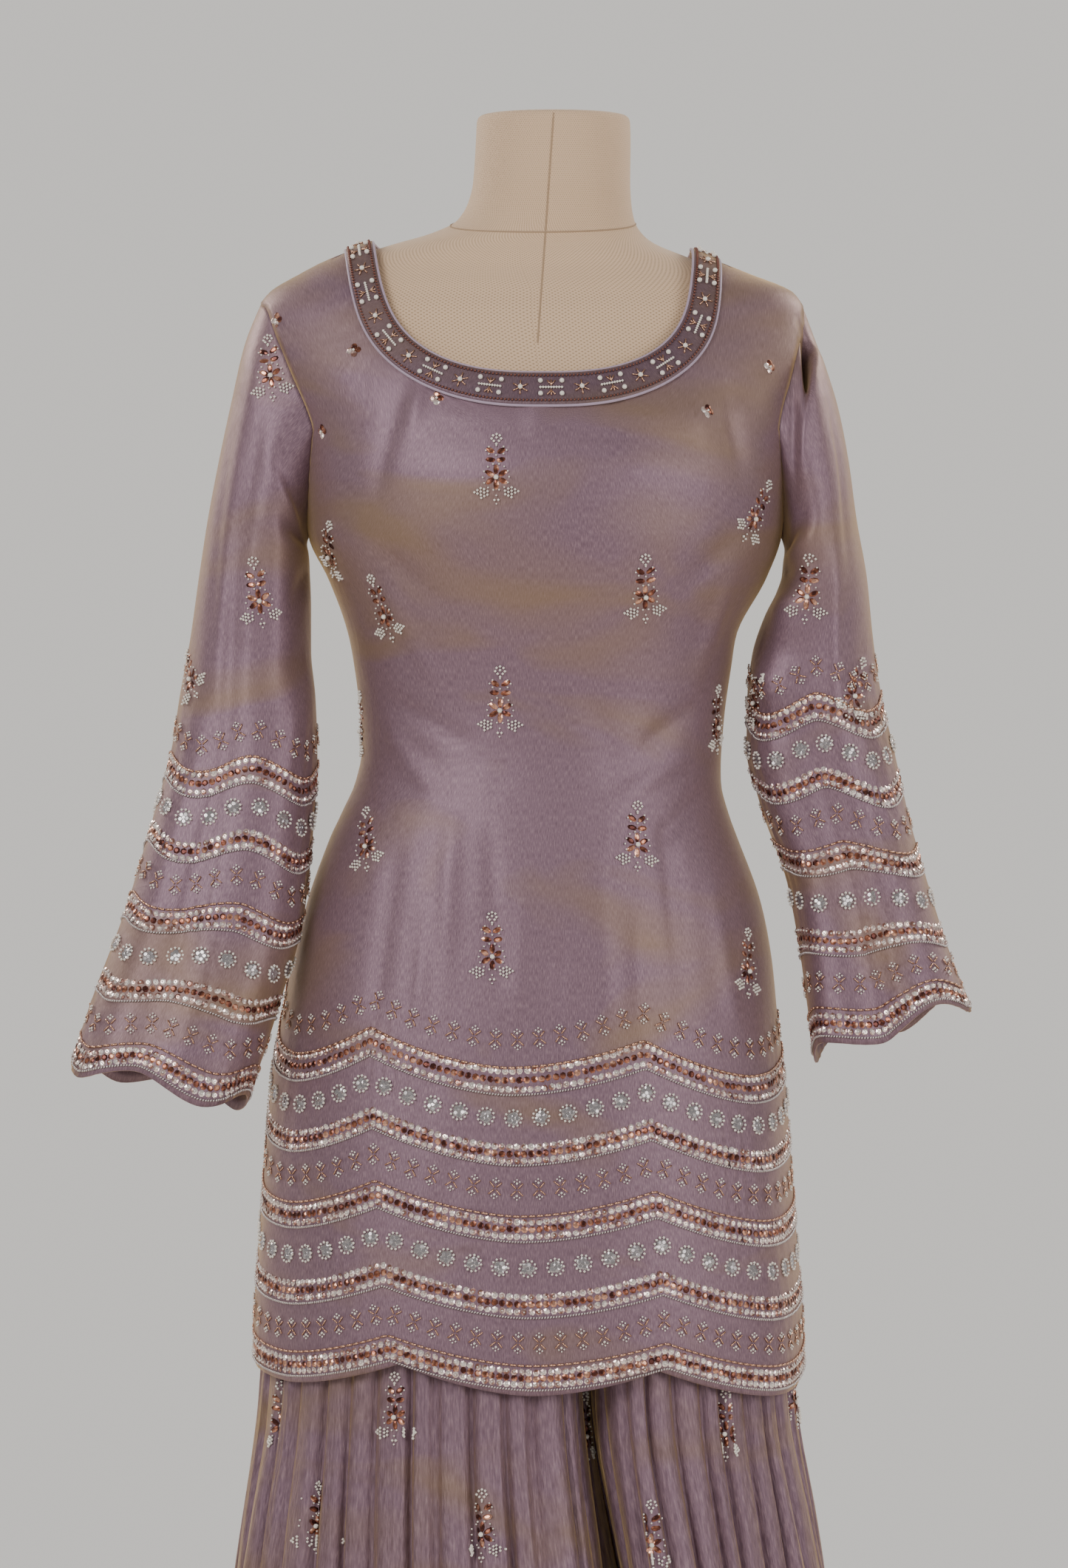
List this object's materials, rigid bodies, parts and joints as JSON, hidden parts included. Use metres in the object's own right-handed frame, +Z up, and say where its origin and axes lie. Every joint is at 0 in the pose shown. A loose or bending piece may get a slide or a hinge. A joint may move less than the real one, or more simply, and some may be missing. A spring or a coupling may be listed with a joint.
{
  "type": "sharara suit on a limbless dress form",
  "caption": "Long-sleeved kurta with scalloped hem and cuffs over pleated, flared sharara trousers, worn on a limbless dress form with a round foot.",
  "frame": {"origin": "centre of the flat underside of the stand's round foot, below the pole", "axes": "+Z up; the front of the suit looks along -Y; the wearer's right side is at -X"},
  "size_m": [0.6446, 0.5265, 1.53],
  "materials": {
    "tissue_silk": "satin",
    "band_silk": "matte",
    "waist_elastic": "matte",
    "form_canvas": "matte",
    "stand_steel": "satin",
    "sequins": "gloss",
    "pearls": "gloss",
    "metal_thread": "satin"
  },
  "bodies": {
    "root": {"form_torso": "form_canvas", "stand_pole": "stand_steel", "stand_foot": "stand_steel", "kurta_front": "tissue_silk", "kurta_back": "tissue_silk", "neck_band_front": "band_silk", "neck_band_back": "band_silk", "sleeve_right": "tissue_silk", "sleeve_left": "tissue_silk", "sharara_waistband": "waist_elastic", "sharara_right_front": "tissue_silk", "sharara_right_back": "tissue_silk", "sharara_left_front": "tissue_silk", "sharara_left_back": "tissue_silk"}
  },
  "joints": []
}
